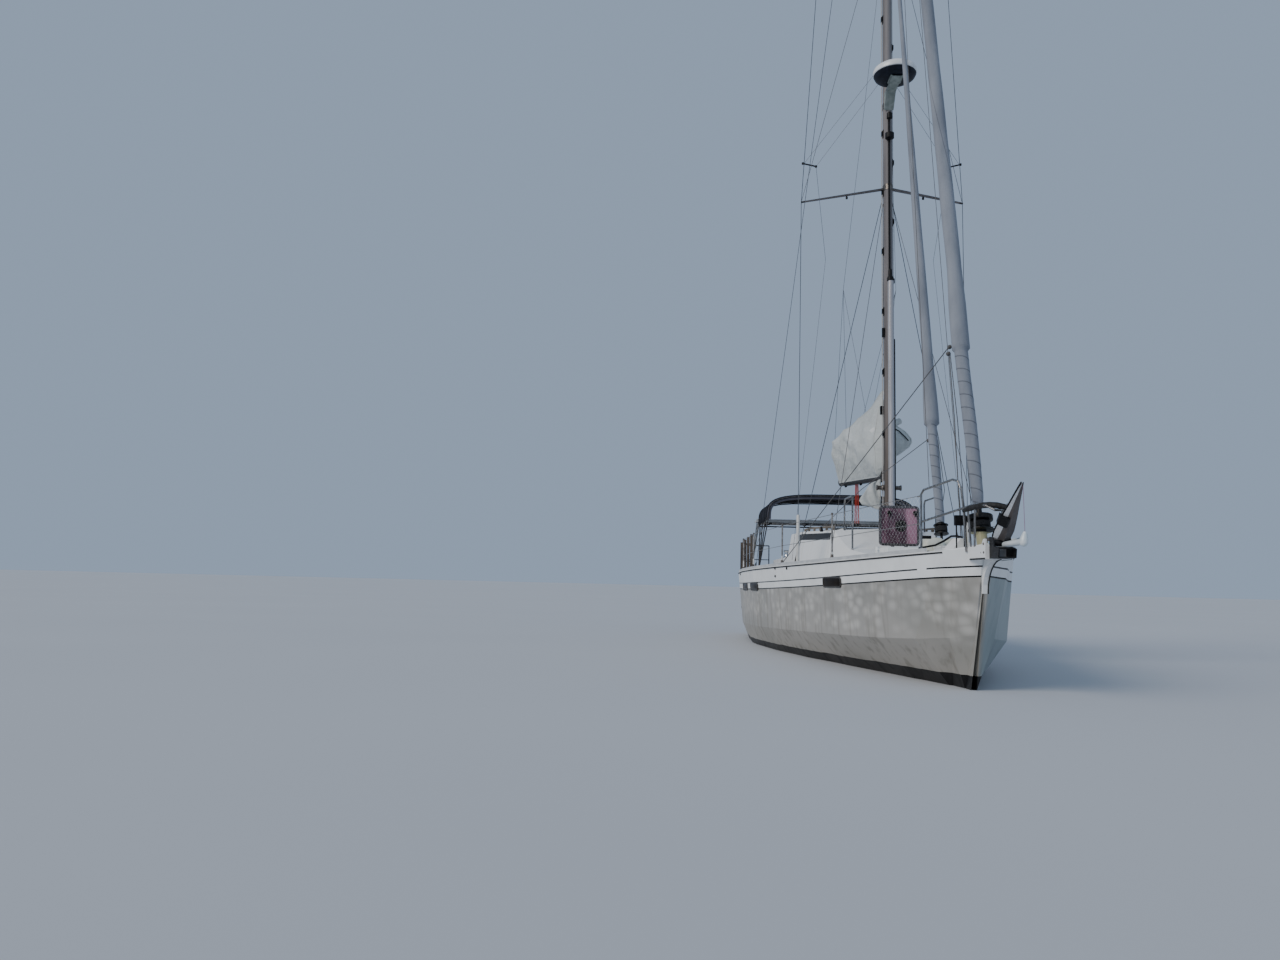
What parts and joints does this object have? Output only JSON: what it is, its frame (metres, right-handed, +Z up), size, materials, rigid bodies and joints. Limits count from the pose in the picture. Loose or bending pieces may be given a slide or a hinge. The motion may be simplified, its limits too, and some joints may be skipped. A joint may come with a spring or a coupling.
{
  "type": "sailing yacht",
  "caption": "Cutter-rigged aluminium cruising yacht with furled sails, cockpit bimini, stern arch and lifting centreboard.",
  "frame": {"origin": "on the waterline, amidships, on the centreline", "axes": "+X towards the bow, +Y to port, +Z up along the mast"},
  "size_m": [13.0363, 3.94, 19.76],
  "materials": {
    "bare_aluminium": "bare plating, brushed, with dull streaks",
    "white_paint": "satin white deck paint",
    "dark_glass": "smoked acrylic",
    "solar_glass": "dark cells under glass",
    "engine_iron": "painted casting",
    "varnished_wood": "varnished",
    "stainless": "polished stainless steel",
    "spar_aluminium": "grey anodised",
    "galvanised": "dull galvanised",
    "black_plastic": "matt black",
    "radar_plastic": "white gelcoat",
    "rigging_wire": "stranded wire",
    "sail_cloth": "grey ultraviolet strip on woven sailcloth",
    "bag_cloth": "pale woven canvas",
    "navy_canvas": "dark navy canvas",
    "antifouling": "matt black antifouling",
    "bronze": "bronze",
    "chromed_bronze": "polished chrome"
  },
  "bodies": {
    "hull": {"hull": "bare_aluminium", "coachroof": "white_paint", "mast_bar_port": "stainless", "mast_bar_starboard": "stainless", "cockpit_coaming_port": "white_paint", "cockpit_coaming_starboard": "white_paint", "coachroof_window_port": "dark_glass", "coachroof_window_starboard": "dark_glass", "engine": "engine_iron", "companionway_steps": "varnished_wood", "guard_rail_port": "stainless", "guard_rail_starboard": "stainless", "pulpit": "stainless", "pushpit_port": "stainless", "pushpit_starboard": "stainless", "bow_platform": "white_paint", "bow_roller": "stainless", "bow_tube": "spar_aluminium", "anchor": "galvanised", "windlass": "black_plastic", "genoa_furler": "black_plastic", "staysail_furler": "black_plastic", "mast": "spar_aluminium", "lower_spreader_port": "spar_aluminium", "lower_spreader_starboard": "spar_aluminium", "upper_spreader_port": "spar_aluminium", "upper_spreader_starboard": "spar_aluminium", "cap_shroud_port": "rigging_wire", "cap_shroud_starboard": "rigging_wire", "lower_shroud_port": "rigging_wire", "lower_shroud_starboard": "rigging_wire", "backstay_port": "rigging_wire", "backstay_starboard": "rigging_wire", "genoa_furled": "sail_cloth", "staysail_furled": "sail_cloth", "radar": "radar_plastic", "spinnaker_pole": "spar_aluminium", "gooseneck": "stainless", "helm_pedestal": "white_paint", "stern_arch": "stainless", "solar_panel": "solar_glass", "bimini_frame": "stainless", "bimini_canopy": "navy_canvas", "winch_port": "chromed_bronze", "winch_starboard": "chromed_bronze"},
    "boom": {"boom": "spar_aluminium", "sail_bag": "bag_cloth"},
    "forehatch": {"forehatch_lid": "dark_glass"},
    "companionway_hatch": {"companionway_hatch": "dark_glass"},
    "locker_lid_port": {"cockpit_locker_lid_port": "white_paint"},
    "locker_lid_starboard": {"cockpit_locker_lid_starboard": "white_paint"},
    "anchor_locker_lid": {"anchor_locker_lid": "white_paint"},
    "helm": {"helm_wheel": "stainless"},
    "rudder": {"rudder": "antifouling"},
    "propeller": {"propeller": "bronze"},
    "centreboard": {"centreboard": "antifouling"},
    "swim_ladder": {"swim_ladder": "stainless"}
  },
  "joints": [
    {"name": "boom_swing", "type": "hinge", "parent": "hull", "child": "boom", "pos_m": [1.19, 0, 2.85], "axis": [0, 0, 1], "range_deg": [-52, 52]},
    {"name": "forehatch_hinge", "type": "hinge", "parent": "hull", "child": "forehatch", "pos_m": [2, 0, 1.67863], "axis": [0, 1, 0], "range_deg": [0, 88]},
    {"name": "companionway_slide", "type": "slide", "parent": "hull", "child": "companionway_hatch", "axis": [1, 0, 0], "range_m": [0, 0.6]},
    {"name": "locker_hinge_port", "type": "hinge", "parent": "hull", "child": "locker_lid_port", "pos_m": [-3.75, 0.91, 1.39415], "axis": [-1, 0, 0], "range_deg": [0, 90]},
    {"name": "locker_hinge_starboard", "type": "hinge", "parent": "hull", "child": "locker_lid_starboard", "pos_m": [-3.75, -0.91, 1.39415], "axis": [1, 0, 0], "range_deg": [0, 90]},
    {"name": "anchor_locker_hinge", "type": "hinge", "parent": "hull", "child": "anchor_locker_lid", "pos_m": [4.75, 0, 1.5503], "axis": [0, -1, 0], "range_deg": [0, 90]},
    {"name": "rudder_turn", "type": "hinge", "parent": "hull", "child": "rudder", "pos_m": [-5.05, 0, -0.5], "axis": [0, 0, 1], "range_deg": [-35, 35]},
    {"name": "wheel_turn", "type": "hinge", "parent": "hull", "child": "helm", "pos_m": [-4.56, 0, 1.86], "axis": [1, 0, 0], "range_deg": [-350, 350]},
    {"name": "propeller_spin", "type": "hinge", "parent": "hull", "child": "propeller", "pos_m": [-3.6, 0, -0.74], "axis": [1, 0, 0], "continuous": true},
    {"name": "centreboard_swing", "type": "hinge", "parent": "hull", "child": "centreboard", "pos_m": [0.9, 0, -0.25], "axis": [0, 1, 0], "range_deg": [0, 82]},
    {"name": "ladder_fold", "type": "hinge", "parent": "hull", "child": "swim_ladder", "pos_m": [-5.955, 0, 0.45], "axis": [0, -1, 0], "range_deg": [0, 175]}
  ],
  "couplings": [
    {"joint": "wheel_turn", "follows": "rudder_turn", "ratio": 10}
  ]
}
